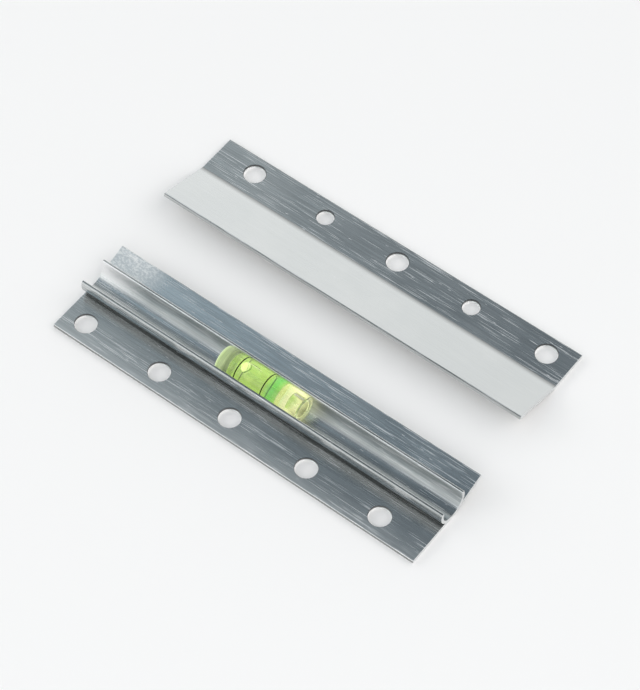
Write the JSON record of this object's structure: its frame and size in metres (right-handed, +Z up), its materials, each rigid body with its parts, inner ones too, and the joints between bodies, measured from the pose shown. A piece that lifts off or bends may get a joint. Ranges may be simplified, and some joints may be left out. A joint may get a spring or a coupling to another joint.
{
  "type": "french cleat hanger",
  "caption": "Two interlocking bent aluminium rails with screw holes; the wall rail holds a small level vial in a snap-in channel, the frame rail hooks over it.",
  "frame": {"origin": "middle of the rectangle that the two rails cover, on the surface that they lie on", "axes": "+X along the rails, +Y from the wall rail to the frame rail, +Z up, away from the faces that lie against the wall and the frame"},
  "size_m": [0.1544, 0.0994, 0.0119],
  "materials": {
    "rail_aluminium": "mill finish, fine drawing lines along the rail, short scratches",
    "vial_clear": "clear polished acrylic with a yellow-green tint",
    "vial_liquid": "clear yellow-green liquid",
    "ring_black": "black print in a fine groove"
  },
  "bodies": {
    "root": {"wall_rail": "rail_aluminium", "frame_rail": "rail_aluminium", "vial_barrel": "vial_clear", "vial_plug": "vial_clear", "vial_fluid": "vial_liquid", "ring_left": "ring_black", "ring_right": "ring_black"}
  },
  "joints": []
}
